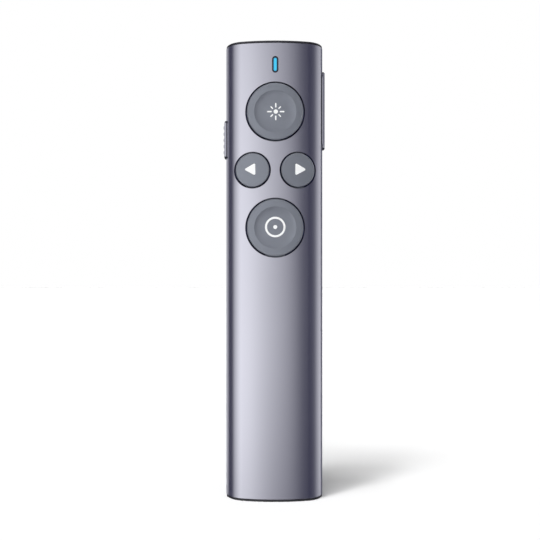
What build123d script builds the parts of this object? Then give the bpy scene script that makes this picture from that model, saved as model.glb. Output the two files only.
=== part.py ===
from build123d import *
import os
from math import asin, cos, degrees, hypot, sin, sqrt

os.makedirs("parts", exist_ok=True)

# Wireless presentation clicker, in millimetres. It stands on its tail: +Z runs up to the laser
# end, the buttons face -Y, and the origin is the centre of the tail face. A depth on the button
# side is a positive distance from the mid plane towards the buttons, as FRONT.offset(depth) uses it.

FRONT = Plane.XZ  # looks out towards the buttons: local x is +X, local y is +Z
SIDE = Plane.YZ  # looks out to +X: local x is +Y, local y is +Z

# ---- driving dimensions: the body ----
WIDTH = 30.0
DEPTH = 15.0
HEIGHT = 140.0
SIDE_R = 6.5  # radius of the sleeve's two sides
WALL = 1.2
END_LIP = 0.5  # each end cap stands this far out of the sleeve
RIM_CHAMFER = 0.3
SEAT = 0.05  # gap between pieces that are pressed or glued together
RUN = 0.1  # gap round a piece that moves

# ---- driving dimensions: the controls ----
LASER_Z = 118.4
PAIR_Z = 100.7  # previous and next stand side by side
PAIR_X = 6.92
SPOT_Z = 83.2
INDICATOR_Z = 132.7
KNOB_Z = 110.9
ROCKER_Z = 120.0
BUTTON_GAP = 0.5
PROUD = 0.5  # the buttons stand this far out of the front face
TRAVEL = 0.4
LARGE = {"diameter": 17.2, "under": 6.0, "tab_front": 6.05, "tab_width": 6.0}
SMALL = {"diameter": 10.2, "under": 5.3, "tab_front": 5.2, "tab_width": 4.0}
BUTTONS = {
    "laser": (0.0, LASER_Z, LARGE),
    "previous": (-PAIR_X, PAIR_Z, SMALL),
    "next": (PAIR_X, PAIR_Z, SMALL),
    "spotlight": (0.0, SPOT_Z, LARGE),
}

# ---- driving dimensions: depths of the stack behind the buttons ----
BOARD_BACK = 2.0
BOARD_FRONT = 3.0
FRAME_FRONT = 3.6
SWITCH_FRONT = 4.1
PLUNGER_FRONT = 4.5
SKIRT_END = 4.1
COLLAR_FRONT = 4.7

# ---- the oval section ----
SIDE_X = WIDTH / 2 - SIDE_R  # the side arcs are centred this far left and right
FACE_R = (SIDE_X**2 + (DEPTH / 2) ** 2 - SIDE_R**2) / (DEPTH - 2 * SIDE_R)
FACE_CENTRE = FACE_R - DEPTH / 2  # the face arcs are centred this far behind the mid plane


def oval(inset=0.0):
    """The body's oval, drawn in from its outer surface: two side arcs and two wide face arcs."""
    face_r = FACE_R - inset
    meet_x = SIDE_X * face_r / (FACE_R - SIDE_R)
    meet_y = FACE_CENTRE * (SIDE_R - inset) / (FACE_R - SIDE_R)
    side = WIDTH / 2 - inset
    face = DEPTH / 2 - inset
    with BuildSketch() as section:
        with BuildLine():
            ThreePointArc((-meet_x, -meet_y), (0, -face), (meet_x, -meet_y))
            ThreePointArc((meet_x, -meet_y), (side, 0), (meet_x, meet_y))
            ThreePointArc((meet_x, meet_y), (0, face), (-meet_x, meet_y))
            ThreePointArc((-meet_x, meet_y), (-side, 0), (-meet_x, -meet_y))
        make_face()
    return section.sketch


def side_sector(side, inner_r, outer_r, half_width):
    """A curved strip round one side of the body, in plan: side is -1 for left and 1 for right."""
    with BuildSketch() as sector:
        with Locations((side * SIDE_X, 0)):
            Circle(outer_r)
            Circle(inner_r, mode=Mode.SUBTRACT)
        with Locations((side * SIDE_X, 0)):
            reach = Align.MIN if side > 0 else Align.MAX
            Rectangle(WIDTH, 2 * half_width, align=(reach, Align.CENTER), mode=Mode.INTERSECT)
    return sector.sketch


def finish(builder, name):
    """Label a finished piece and write its file."""
    builder.part.label = name
    export_step(builder.part, f"parts/{name}.step")


# ---- body sleeve: an extruded oval tube with its openings milled through the wall ----
SLEEVE_LENGTH = HEIGHT - 2 * END_LIP
PILL_LENGTH = 5.06
PILL_WIDTH = 1.94
KNOB_SLOT = (7.8, 2.9)
KNOB_TRAVEL = 2.0
ROCKER_LENGTH = 24.4
ROCKER_WIDTH = 4.6
ROCKER_GAP = 0.25

with BuildPart() as body_sleeve:
    with BuildSketch(Plane.XY.offset(END_LIP)):
        add(oval())
        add(oval(WALL), mode=Mode.SUBTRACT)
    extrude(amount=SLEEVE_LENGTH)
    ends = body_sleeve.faces().filter_by(Axis.Z)
    chamfer([edge for end in ends for edge in end.outer_wire().edges()], length=RIM_CHAMFER)
    with BuildSketch(FRONT):
        for x, z, kind in BUTTONS.values():
            with Locations((x, z)):
                Circle(kind["diameter"] / 2 + BUTTON_GAP)
        with Locations((0, INDICATOR_Z)):
            SlotOverall(PILL_LENGTH, PILL_WIDTH, rotation=90)
    extrude(amount=DEPTH, mode=Mode.SUBTRACT)
    with BuildSketch(SIDE):
        with Locations((0, KNOB_Z - KNOB_TRAVEL / 2)):
            SlotOverall(*KNOB_SLOT, rotation=90)
    extrude(amount=-WIDTH, mode=Mode.SUBTRACT)
    with BuildSketch(SIDE):
        with Locations((0, ROCKER_Z)):
            SlotOverall(ROCKER_LENGTH + 2 * ROCKER_GAP, ROCKER_WIDTH + 2 * ROCKER_GAP, rotation=90)
    extrude(amount=WIDTH, mode=Mode.SUBTRACT)
finish(body_sleeve, "body_sleeve")

# ---- end caps: a lip that covers the rim and a hollow plug that fills the sleeve's mouth ----
LIP_INSET = 0.12
LIP_CHAMFER = 0.15
PLUG_DEPTH = 3.0
PLUG_WALL = 1.1
PLUG_PLATE = 1.0
LASER_Y = 1.5  # the laser's axis runs behind the mid plane
BARREL_R = 3.4
BARREL_Z = (122.0, 137.9)
NOSE_WALL = 0.9
WINDOW_R = 2.8
WINDOW_T = 0.7
BEAM_R = 1.9

with BuildPart() as head_cap:
    with BuildSketch(Plane.XY.offset(HEIGHT - END_LIP)):
        add(oval(LIP_INSET))
    extrude(amount=END_LIP)
    chamfer(head_cap.edges().group_by(Axis.Z)[-1], length=LIP_CHAMFER)
    with BuildSketch(Plane.XY.offset(HEIGHT - END_LIP)):
        add(oval(WALL + SEAT))
    extrude(amount=-PLUG_PLATE)
    with BuildSketch(Plane.XY.offset(HEIGHT - END_LIP - PLUG_PLATE)):
        add(oval(WALL + SEAT))
        add(oval(WALL + SEAT + PLUG_WALL), mode=Mode.SUBTRACT)
        with Locations((0, LASER_Y)):
            Circle(BARREL_R + SEAT + NOSE_WALL)
    extrude(amount=PLUG_PLATE - PLUG_DEPTH)
    with BuildSketch(Plane.XY.offset(BARREL_Z[1])):
        with Locations((0, LASER_Y)):
            Circle(BARREL_R + SEAT)
    extrude(amount=-PLUG_DEPTH, mode=Mode.SUBTRACT)
    with BuildSketch(Plane.XY.offset(HEIGHT)):
        with Locations((0, LASER_Y)):
            Circle(WINDOW_R + SEAT)
    extrude(amount=-WINDOW_T - SEAT, mode=Mode.SUBTRACT)
    with Locations((0, LASER_Y, HEIGHT)):
        Hole(BEAM_R, depth=PLUG_DEPTH)
finish(head_cap, "head_cap")

with BuildPart() as laser_window:
    with BuildSketch(Plane.XY.offset(HEIGHT - SEAT)):
        with Locations((0, LASER_Y)):
            Circle(WINDOW_R)
    extrude(amount=-WINDOW_T)
    chamfer(laser_window.edges().group_by(Axis.Z)[-1], length=2 * SEAT)
finish(laser_window, "laser_window")

# ---- tail cap: the same plug, with the charging port in front and the receiver's bay behind ----
PORT_Y = -3.4
PORT_SIZE = (8.94, 3.26)
PORT_GAP = 0.15
BAY_Y = 2.1
HANDLE = (15.0, 5.6, 6.55)
HANDLE_R = 1.4
HANDLE_BREAK = 0.4
HANDLE_BOTTOM = 0.2
BAY_GAP = 0.15

with BuildPart() as tail_cap:
    with BuildSketch(Plane.XY):
        add(oval(LIP_INSET))
    extrude(amount=END_LIP)
    chamfer(tail_cap.edges().group_by(Axis.Z)[0], length=LIP_CHAMFER)
    with BuildSketch(Plane.XY.offset(END_LIP)):
        add(oval(WALL + SEAT))
    extrude(amount=PLUG_PLATE)
    with BuildSketch(Plane.XY.offset(END_LIP + PLUG_PLATE)):
        add(oval(WALL + SEAT))
        add(oval(WALL + SEAT + PLUG_WALL), mode=Mode.SUBTRACT)
    extrude(amount=PLUG_DEPTH - PLUG_PLATE)
    with BuildSketch(Plane.XY):
        with Locations((0, PORT_Y)):
            SlotOverall(PORT_SIZE[0] + 2 * PORT_GAP, PORT_SIZE[1] + 2 * PORT_GAP)
        with Locations((0, BAY_Y)):
            RectangleRounded(HANDLE[0] + 2 * BAY_GAP, HANDLE[1] + 2 * BAY_GAP, HANDLE_R + BAY_GAP)
    extrude(amount=END_LIP + PLUG_DEPTH, mode=Mode.SUBTRACT)
finish(tail_cap, "tail_cap")

# ---- chassis: a moulded tray that lines the rear of the sleeve and carries everything inside ----
TRAY_Z = (3.6, 136.3)
TRAY_GAP = 0.12
TRAY_WALL = 1.1
TRAY_LENGTH = TRAY_Z[1] - TRAY_Z[0]
PLUG_SHELL = (12.0, 4.5, 12.0)
BAY_WALL = 0.85
BAY_TOP = 20.2
PLUG_POCKET_TOP = HANDLE_BOTTOM + HANDLE[2] + PLUG_SHELL[2] + 0.6
SCREWS = [(9.6, 21.8), (9.6, 68.5), (5.6, 132.4)]
SCREW_PLACES = [(side * x, z) for x, z in SCREWS for side in (-1, 1)]
POST_R = 1.6
POST_END = 5.5
SCREW_R = 0.7
PILOT_R = 0.6
SADDLE_Z = (123.0, 129.5)
SADDLE_HALF = 4.4
PIN_X = 11.0
PIN_R = 0.6
EAR = (1.2, 1.9)  # the rocker's two ears lie between these depths on each side of the mid plane
EAR_HALF = 1.5
EAR_X = (8.6, 12.0)
HUB_CLEAR_X = 9.6
CELL = (20.0, 4.8, 40.0)
CELL_Y = 0.9
CELL_BOTTOM = 24.2
CELL_RIB = 0.8
KNOB_WINDOW = (103.0, 117.5)
ROCKER_REACH = 13.0
ROCKER_WINDOW = (ROCKER_Z - ROCKER_REACH, ROCKER_Z + ROCKER_REACH)
WINDOW_DEPTH = 3.0


def tray_box(x_range, y_range, z_range, mode=Mode.ADD):
    """A block of the tray between the given limits, for its walls, ribs and windows."""
    with BuildSketch(Plane.XY.offset(z_range[0])) as block:
        with Locations(((x_range[0] + x_range[1]) / 2, (y_range[0] + y_range[1]) / 2)):
            Rectangle(x_range[1] - x_range[0], y_range[1] - y_range[0])
    extrude(block.sketch, amount=z_range[1] - z_range[0], mode=mode)


with BuildPart() as chassis:
    with BuildSketch(Plane.XY.offset(TRAY_Z[0])):
        add(oval(WALL + TRAY_GAP))
        add(oval(WALL + TRAY_GAP + TRAY_WALL), mode=Mode.SUBTRACT)
        with Locations((0, -BOARD_BACK)):
            Rectangle(WIDTH, DEPTH, align=(Align.CENTER, Align.MAX), mode=Mode.SUBTRACT)
    extrude(amount=TRAY_LENGTH)
    # walls of the receiver's bay, wide round its handle and narrow round its plug
    handle_half = (HANDLE[0] / 2 + BAY_GAP, HANDLE[1] / 2 + BAY_GAP)
    plug_half = (PLUG_SHELL[0] / 2 + BAY_GAP, PLUG_SHELL[1] / 2 + BAY_GAP)
    handle_top = HANDLE_BOTTOM + HANDLE[2] + BAY_GAP
    with BuildSketch(Plane.XY.offset(TRAY_Z[0])):
        with Locations((0, BAY_Y - handle_half[1] - BAY_WALL)):
            Rectangle(
                2 * (handle_half[0] + BAY_WALL), DEPTH / 2, align=(Align.CENTER, Align.MIN)
            )
    extrude(amount=handle_top + BAY_WALL - TRAY_Z[0])
    with BuildSketch(Plane.XY.offset(handle_top)):
        with Locations((0, BAY_Y - plug_half[1] - BAY_WALL)):
            Rectangle(2 * (plug_half[0] + BAY_WALL), DEPTH / 2, align=(Align.CENTER, Align.MIN))
    extrude(amount=BAY_TOP - handle_top)
    with BuildSketch(Plane.XY.offset(TRAY_Z[0])):
        with Locations((0, BAY_Y)):
            RectangleRounded(2 * handle_half[0], 2 * handle_half[1], HANDLE_R + BAY_GAP)
    extrude(amount=handle_top - TRAY_Z[0], mode=Mode.SUBTRACT)
    with BuildSketch(Plane.XY.offset(handle_top)):
        with Locations((0, BAY_Y)):
            Rectangle(2 * plug_half[0], 2 * plug_half[1])
    extrude(amount=PLUG_POCKET_TOP - handle_top, mode=Mode.SUBTRACT)
    # ribs that hold the two ends of the battery
    for low in (CELL_BOTTOM - CELL_RIB, CELL_BOTTOM + CELL[2]):
        with BuildSketch(Plane.XY.offset(low)):
            with Locations((0, CELL_Y)):
                Rectangle(WIDTH / 2, DEPTH / 2, align=(Align.CENTER, Align.MIN))
        extrude(amount=CELL_RIB)
    # half-round saddle under the laser
    with BuildSketch(Plane.XY.offset(SADDLE_Z[0])):
        with Locations((0, LASER_Y)):
            Rectangle(2 * SADDLE_HALF, DEPTH / 2, align=(Align.CENTER, Align.MIN))
            Circle(BARREL_R + SEAT, mode=Mode.SUBTRACT)
    extrude(amount=SADDLE_Z[1] - SADDLE_Z[0])
    # screw posts
    with BuildSketch(FRONT.offset(BOARD_BACK)):
        with Locations(*SCREW_PLACES):
            Circle(POST_R)
    extrude(amount=-BOARD_BACK - POST_END)
    # windows in the side walls for the slide and the rocker
    tray_box((-WIDTH / 2, -SIDE_X), (-BOARD_BACK, WINDOW_DEPTH), KNOB_WINDOW, Mode.SUBTRACT)
    tray_box((SIDE_X, WIDTH / 2), (-BOARD_BACK, WINDOW_DEPTH), ROCKER_WINDOW, Mode.SUBTRACT)
    # forked bracket for the rocker's pin
    ear_z = (ROCKER_Z - EAR_HALF, ROCKER_Z + EAR_HALF)
    tray_box(EAR_X, (-EAR[1], DEPTH / 2), ear_z)
    tray_box((HUB_CLEAR_X, WIDTH / 2), (-EAR[0], EAR[0]), ear_z, Mode.SUBTRACT)
    tray_box((EAR_X[1], WIDTH / 2), (-EAR[1], WINDOW_DEPTH), ear_z, Mode.SUBTRACT)
    with BuildSketch(Plane.XY.offset(TRAY_Z[0])):
        add(oval(WALL + TRAY_GAP))
    extrude(amount=TRAY_LENGTH, mode=Mode.INTERSECT)
    with BuildSketch(FRONT.offset(BOARD_BACK)):
        with Locations(*SCREW_PLACES):
            Circle(PILOT_R)
        with Locations((PIN_X, ROCKER_Z)):
            Circle(PIN_R)
    extrude(amount=-BOARD_BACK - EAR[1], mode=Mode.SUBTRACT)
finish(chassis, "chassis")

# ---- main board, with notches for the port and the two side controls ----
BOARD_HALF = 12.4
BOARD_Z = (4.2, 135.0)
PORT_NOTCH = (9.3, 8.1)
SIDE_NOTCH_X = 11.6

with BuildPart() as main_board:
    with BuildSketch(FRONT.offset(BOARD_BACK)):
        with Locations((0, (BOARD_Z[0] + BOARD_Z[1]) / 2)):
            Rectangle(2 * BOARD_HALF, BOARD_Z[1] - BOARD_Z[0])
        with Locations((0, BOARD_Z[0])):
            Rectangle(PORT_NOTCH[0], 2 * (PORT_NOTCH[1] - BOARD_Z[0]), mode=Mode.SUBTRACT)
        for side, (low, high) in ((-1, KNOB_WINDOW), (1, ROCKER_WINDOW)):
            notch = BOARD_HALF - SIDE_NOTCH_X
            with Locations((side * BOARD_HALF, (low + high) / 2)):
                Rectangle(2 * notch, high - low, mode=Mode.SUBTRACT)
        with Locations(*SCREW_PLACES):
            Circle(SCREW_R + SEAT, mode=Mode.SUBTRACT)
    extrude(amount=BOARD_FRONT - BOARD_BACK)
finish(main_board, "main_board")

# ---- key frame: the plate over the board whose four collars guide the buttons ----
FRAME_Z = (65.5, 134.6)
FRAME_HALF = 12.6
COLLAR_WALL = 0.6
COLLAR_GAP = 0.15
SWITCH_SIZE = 4.5
SWITCH_WINDOW = 5.1
TAB_CLEAR = 0.2
LAMP_WINDOW = (4.2, 3.0)

with BuildPart() as key_frame:
    with BuildSketch(FRONT.offset(BOARD_FRONT)):
        with Locations((0, (FRAME_Z[0] + FRAME_Z[1]) / 2)):
            Rectangle(2 * FRAME_HALF, FRAME_Z[1] - FRAME_Z[0])
        with Locations(*SCREW_PLACES[2:]):
            Circle(SCREW_R + SEAT, mode=Mode.SUBTRACT)
    extrude(amount=FRAME_FRONT - BOARD_FRONT)
    for x, z, kind in BUTTONS.values():
        guide_r = kind["diameter"] / 2 + COLLAR_GAP
        with BuildSketch(FRONT.offset(FRAME_FRONT)):
            with Locations((x, z)):
                Circle(guide_r + COLLAR_WALL)
                Circle(guide_r, mode=Mode.SUBTRACT)
                if kind is SMALL:
                    Rectangle(
                        kind["tab_width"] + 2 * TAB_CLEAR, kind["diameter"] * 2, mode=Mode.SUBTRACT
                    )
        extrude(amount=COLLAR_FRONT - FRAME_FRONT)
    with BuildSketch(FRONT.offset(BOARD_FRONT)):
        for x, z, kind in BUTTONS.values():
            with Locations((x, z)):
                Rectangle(SWITCH_WINDOW, SWITCH_WINDOW)
        with Locations((0, INDICATOR_Z)):
            Rectangle(LAMP_WINDOW[1], LAMP_WINDOW[0])
    extrude(amount=COLLAR_FRONT - BOARD_FRONT, mode=Mode.SUBTRACT)
    with BuildSketch(Plane.XY.offset(FRAME_Z[0])):
        add(oval(WALL + TRAY_GAP))
    extrude(amount=FRAME_Z[1] - FRAME_Z[0], mode=Mode.INTERSECT)
finish(key_frame, "key_frame")

# ---- screws: four clamp the key frame and the board, two hold the board's tail end ----
SCREW_HEAD_R = 1.3
SCREW_HEAD = 0.7
SCREW_LENGTH = 4.0


def screws(places, seat_depth):
    """Pan-head screws whose heads sit at seat_depth, driven back into the chassis posts."""
    with BuildPart() as group:
        with BuildSketch(FRONT.offset(seat_depth)):
            with Locations(*places):
                Circle(SCREW_HEAD_R)
        extrude(amount=SCREW_HEAD)
        with BuildSketch(FRONT.offset(seat_depth)):
            with Locations(*places):
                Circle(PILOT_R - SEAT / 2)
        extrude(amount=-SCREW_LENGTH)
    return group


board_screws = screws(SCREW_PLACES[:2], BOARD_FRONT)
finish(board_screws, "board_screws")
frame_screws = screws(SCREW_PLACES[2:], FRAME_FRONT)
finish(frame_screws, "frame_screws")

# ---- push buttons: crowned caps on a stem, each with its tact switch and plunger behind ----
CAP_WALL = 1.1
RIM_BREAK = 0.25
DISH_R = 6.4
DISH_DEPTH = 0.6
DISH_POWER = 5  # the dish is nearly level in the middle and climbs steeply at its rim
DISH_GRID = 13  # points each way that its curved floor is laid through
STEM_R = 1.3
RIB = 0.7
RIB_END = 5.0
TAB_REACH = 0.5  # the tabs reach this far past the hole in the sleeve
TAB_THICK = 0.7
PLUNGER_R = 1.0
PLUNGER_LENGTH = 1.05


def dish_floor(z):
    """The curved floor of a dish centred at height z: it meets the crown on a circle of DISH_R."""
    half = DISH_R + BUTTON_GAP
    offsets = [half * (2 * step / (DISH_GRID - 1) - 1) for step in range(DISH_GRID)]
    points = []
    for x in offsets:
        crown = FACE_CENTRE - sqrt((FACE_R + PROUD) ** 2 - x**2)
        sinks = [DISH_DEPTH * (1 - (hypot(x, rise) / DISH_R) ** DISH_POWER) for rise in offsets]
        points.append([Vector(x, crown + sink, z + rise) for rise, sink in zip(offsets, sinks)])
    return Face.make_surface_from_array_of_points(points, tol=DISH_DEPTH / 1000)


for name, (x, z, kind) in BUTTONS.items():
    cap_r = kind["diameter"] / 2
    with BuildPart() as button:
        with BuildSketch(FRONT.offset(SKIRT_END)):
            with Locations((x, z)):
                Circle(cap_r)
        extrude(amount=DEPTH / 2)
        with Locations((0, FACE_CENTRE, z)):
            Cylinder(FACE_R + PROUD, 4 * cap_r, mode=Mode.INTERSECT)
        chamfer(button.faces().sort_by(Axis.Y)[0].edges(), length=RIM_BREAK)
        if kind is LARGE:
            extrude(dish_floor(z), amount=DEPTH, dir=(0, -1, 0), mode=Mode.SUBTRACT)
        with BuildSketch(FRONT.offset(SKIRT_END)):
            with Locations((x, z)):
                Circle(cap_r - CAP_WALL)
        extrude(amount=kind["under"] - SKIRT_END, mode=Mode.SUBTRACT)
        with BuildSketch(FRONT.offset(kind["under"])):
            with Locations((x, z)):
                Rectangle(2 * cap_r - CAP_WALL, RIB)
                Rectangle(RIB, 2 * cap_r - CAP_WALL)
        extrude(amount=RIB_END - kind["under"])
        with BuildSketch(FRONT.offset(PLUNGER_FRONT)):
            with Locations((x, z)):
                Circle(STEM_R)
        extrude(amount=kind["under"] - PLUNGER_FRONT)
        with BuildSketch(FRONT.offset(kind["tab_front"])):
            with Locations((x, z)):
                Circle(cap_r + BUTTON_GAP + TAB_REACH)
                Rectangle(kind["tab_width"], 4 * cap_r, mode=Mode.INTERSECT)
                Circle(cap_r - CAP_WALL / 2, mode=Mode.SUBTRACT)
        extrude(amount=-TAB_THICK)
    finish(button, f"{name}_button")

    with BuildPart() as plunger:
        with BuildSketch(FRONT.offset(PLUNGER_FRONT)):
            with Locations((x, z)):
                Circle(PLUNGER_R)
        extrude(amount=-PLUNGER_LENGTH)
    finish(plunger, f"{name}_plunger")

    with BuildPart() as switch:
        with BuildSketch(FRONT.offset(BOARD_FRONT)):
            with Locations((x, z)):
                Rectangle(SWITCH_SIZE, SWITCH_SIZE)
                Circle(PLUNGER_R + RUN, mode=Mode.SUBTRACT)
        extrude(amount=SWITCH_FRONT - BOARD_FRONT)
    finish(switch, f"{name}_switch")

# ---- indicator: a black pill bezel, the light guide it traps, and the lamp on the board ----
BEZEL_GAP = 0.02
LENS_LENGTH = 4.12
LENS_WIDTH = 1.06
BEZEL_FLANGE = (6.2, 3.0)
FLANGE_DEPTHS = (5.4, 6.1)
LENS_FOOT = (5.0, 2.0)
LENS_BACK = 3.9
LAMP = (1.6, 3.2, 0.7)

with BuildPart() as indicator_bezel:
    with BuildSketch(FRONT.offset(FLANGE_DEPTHS[0])):
        with Locations((0, INDICATOR_Z)):
            SlotOverall(*BEZEL_FLANGE, rotation=90)
    extrude(amount=FLANGE_DEPTHS[1] - FLANGE_DEPTHS[0])
    with BuildSketch(FRONT.offset(FLANGE_DEPTHS[1])):
        with Locations((0, INDICATOR_Z)):
            SlotOverall(PILL_LENGTH - 2 * BEZEL_GAP, PILL_WIDTH - 2 * BEZEL_GAP, rotation=90)
    extrude(amount=DEPTH / 2 - FLANGE_DEPTHS[1])
    with BuildSketch(FRONT.offset(FLANGE_DEPTHS[0])):
        with Locations((0, INDICATOR_Z)):
            SlotOverall(LENS_LENGTH, LENS_WIDTH, rotation=90)
    extrude(amount=DEPTH / 2, mode=Mode.SUBTRACT)
finish(indicator_bezel, "indicator_bezel")

with BuildPart() as indicator_lens:
    with BuildSketch(FRONT.offset(LENS_BACK)):
        with Locations((0, INDICATOR_Z)):
            SlotOverall(*LENS_FOOT, rotation=90)
    extrude(amount=FLANGE_DEPTHS[0] - LENS_BACK)
    with BuildSketch(FRONT.offset(FLANGE_DEPTHS[0])):
        with Locations((0, INDICATOR_Z)):
            SlotOverall(LENS_LENGTH - 2 * BEZEL_GAP, LENS_WIDTH - 2 * BEZEL_GAP, rotation=90)
    extrude(amount=DEPTH / 2 - FLANGE_DEPTHS[0] - SEAT)
finish(indicator_lens, "indicator_lens")

with BuildPart() as indicator_lamp:
    with BuildSketch(FRONT.offset(BOARD_FRONT)):
        with Locations((0, INDICATOR_Z)):
            Rectangle(LAMP[0], LAMP[1])
    extrude(amount=LAMP[2])
finish(indicator_lamp, "indicator_lamp")

# ---- laser: a brass barrel with its lens in the nose and its diode in the tail ----
BARREL_WALL = 0.9
LASER_LENS_T = 1.6
LENS_BEVEL = 0.5
DIODE_FLANGE_R = 2.3
DIODE_CAN_R = 1.6
DIODE_FLANGE = 1.2
DIODE_CAN = 2.4

with BuildPart() as laser_barrel:
    with BuildSketch(Plane.XY.offset(BARREL_Z[0])):
        with Locations((0, LASER_Y)):
            Circle(BARREL_R)
    extrude(amount=BARREL_Z[1] - BARREL_Z[0])
    with Locations((0, LASER_Y, BARREL_Z[1])):
        CounterBoreHole(BEAM_R, BARREL_R - BARREL_WALL, LASER_LENS_T)
    with BuildSketch(Plane.XY.offset(BARREL_Z[0])):
        with Locations((0, LASER_Y)):
            Circle(DIODE_FLANGE_R + SEAT)
    extrude(amount=DIODE_FLANGE, mode=Mode.SUBTRACT)
finish(laser_barrel, "laser_barrel")

with BuildPart() as laser_lens:
    with BuildSketch(Plane.XY.offset(BARREL_Z[1] - LASER_LENS_T)):
        with Locations((0, LASER_Y)):
            Circle(BARREL_R - BARREL_WALL - SEAT)
    extrude(amount=LASER_LENS_T - 2 * SEAT)
    chamfer(laser_lens.edges().group_by(Axis.Z)[-1], length=LENS_BEVEL)
finish(laser_lens, "laser_lens")

with BuildPart() as laser_diode:
    with BuildSketch(Plane.XY.offset(BARREL_Z[0])):
        with Locations((0, LASER_Y)):
            Circle(DIODE_FLANGE_R)
    extrude(amount=DIODE_FLANGE)
    with BuildSketch(Plane.XY.offset(BARREL_Z[0] + DIODE_FLANGE)):
        with Locations((0, LASER_Y)):
            Circle(DIODE_CAN_R)
    extrude(amount=DIODE_CAN)
finish(laser_diode, "laser_diode")

# ---- laser flex: a flat ribbon from the diode's tail, bent forward to the board's back ----
FLEX = (3.2, 0.2)
FLEX_Z = 117.5
FLEX_BEND = 1.5

with BuildPart() as laser_flex:
    with BuildLine() as flex_path:
        FilletPolyline(
            (0, LASER_Y, BARREL_Z[0]),
            (0, LASER_Y, FLEX_Z),
            (0, -BOARD_BACK, FLEX_Z),
            radius=FLEX_BEND,
        )
    with BuildSketch(Plane.XY.offset(BARREL_Z[0])):
        with Locations((0, LASER_Y)):
            Rectangle(*FLEX)
    sweep()
finish(laser_flex, "laser_flex")

# ---- battery: a flat cell behind the board, its pad, leads and plug ----
CELL_R = 1.2
PAD = (16.0, 34.0)
CONNECTOR = (5.4, 3.4, 2.4)
CONNECTOR_BEVEL = 0.3
CONNECTOR_Z = 72.0
LEAD_R = 0.35
LEAD_X = 1.2
LEAD_Y = -0.8

with BuildPart() as battery_cell:
    with BuildSketch(Plane.XY.offset(CELL_BOTTOM)):
        with Locations((0, CELL_Y)):
            RectangleRounded(CELL[0], CELL[1], CELL_R)
    extrude(amount=CELL[2])
finish(battery_cell, "battery_cell")

with BuildPart() as battery_pad:
    with BuildSketch(FRONT.offset(CELL[1] / 2 - CELL_Y)):
        with Locations((0, CELL_BOTTOM + CELL[2] / 2)):
            Rectangle(*PAD)
    extrude(amount=BOARD_BACK - CELL[1] / 2 + CELL_Y)
finish(battery_pad, "battery_pad")

with BuildPart() as battery_connector:
    with BuildSketch(FRONT.offset(BOARD_BACK)):
        with Locations((0, CONNECTOR_Z)):
            Rectangle(CONNECTOR[0], CONNECTOR[1], align=(Align.CENTER, Align.MIN))
    extrude(amount=-CONNECTOR[2])
    chamfer(battery_connector.edges().filter_by(Axis.Z), length=CONNECTOR_BEVEL)
finish(battery_connector, "battery_connector")

cell_top = CELL_BOTTOM + CELL[2]
for name, x in (("battery_lead_red", -LEAD_X), ("battery_lead_black", LEAD_X)):
    with BuildPart() as wire:
        with BuildSketch(Plane.XY.offset(cell_top)):
            with Locations((x, LEAD_Y)):
                Circle(LEAD_R)
        extrude(amount=CONNECTOR_Z - cell_top)
    finish(wire, name)

# ---- charging port: a drawn steel shell round a moulded tongue ----
PORT_Z = (0.7, 8.0)
PORT_WALL = 0.3
PORT_BACK = 1.1
TONGUE = (6.7, 0.7)
TONGUE_LOW = 1.6

with BuildPart() as charge_port_shell:
    with BuildSketch(Plane.XY.offset(PORT_Z[0])):
        with Locations((0, PORT_Y)):
            SlotOverall(*PORT_SIZE)
            SlotOverall(
                PORT_SIZE[0] - 2 * PORT_WALL, PORT_SIZE[1] - 2 * PORT_WALL, mode=Mode.SUBTRACT
            )
    extrude(amount=PORT_Z[1] - PORT_Z[0])
finish(charge_port_shell, "charge_port_shell")

with BuildPart() as charge_port_tongue:
    inside = PORT_WALL + SEAT / 2
    with BuildSketch(Plane.XY.offset(PORT_Z[1] - PORT_BACK)):
        with Locations((0, PORT_Y)):
            SlotOverall(PORT_SIZE[0] - 2 * inside, PORT_SIZE[1] - 2 * inside)
    extrude(amount=PORT_BACK)
    with BuildSketch(Plane.XY.offset(TONGUE_LOW)):
        with Locations((0, PORT_Y)):
            Rectangle(*TONGUE)
    extrude(amount=PORT_Z[1] - PORT_BACK - TONGUE_LOW)
finish(charge_port_tongue, "charge_port_tongue")

# ---- power slide: a knob with a ribbed cover, a clip inside, and the slide switch it drives ----
KNOB_LENGTH = 11.5
KNOB_HALF = 1.7
KNOB_LIFT = 0.06
KNOB_ROOT = 0.65  # how far the knob stands out of the sleeve between its teeth
KNOB_COVER = 0.45  # thickness of the cover, which is let into the knob between its sloped ends
TOOTH = 0.2
TOOTH_PITCH = 1.93
TOOTH_COUNT = 5
END_SLOPE = (0.5, 0.2)
KNOB_STEM = (5.5, 2.6)
STEM_INNER_X = 12.3
CLIP_R = (4.6, 5.2)
CLIP_HALF = 2.3
CLIP_LENGTH = 6.4
LEVER = (1.3, 0.6)
LEVER_Y = -0.9
LEVER_X = (10.7, 12.9)
POWER_SWITCH = (2.7, 1.7, 7.0)
POWER_SWITCH_X = 11.3
GROOVE_DEPTH = 0.8
root = SIDE_R + KNOB_ROOT
foot = SIDE_R + KNOB_LIFT
bed = root - KNOB_COVER
half = KNOB_LENGTH / 2
cover_half = half - END_SLOPE[0]
knob_turn = asin(2 * KNOB_HALF / root)  # far enough round for the flanks to be trimmed flat
outward = Vector(-cos(knob_turn), sin(knob_turn), 0)
across = Vector(sin(knob_turn), cos(knob_turn), 0)
knob_profile = Plane((-SIDE_X, 0, KNOB_Z), x_dir=outward, z_dir=across)


def turn_and_trim():
    """Turn a profile of the knob's length about the sleeve's side arc and trim it to its width."""
    revolve(axis=Axis((-SIDE_X, 0, 0), (0, 0, 1)), revolution_arc=degrees(2 * knob_turn))
    with BuildSketch(Plane.XY.offset(KNOB_Z - half)) as band:
        Rectangle(2 * WIDTH, 2 * KNOB_HALF)
    extrude(band.sketch, amount=KNOB_LENGTH, mode=Mode.INTERSECT)


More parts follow.
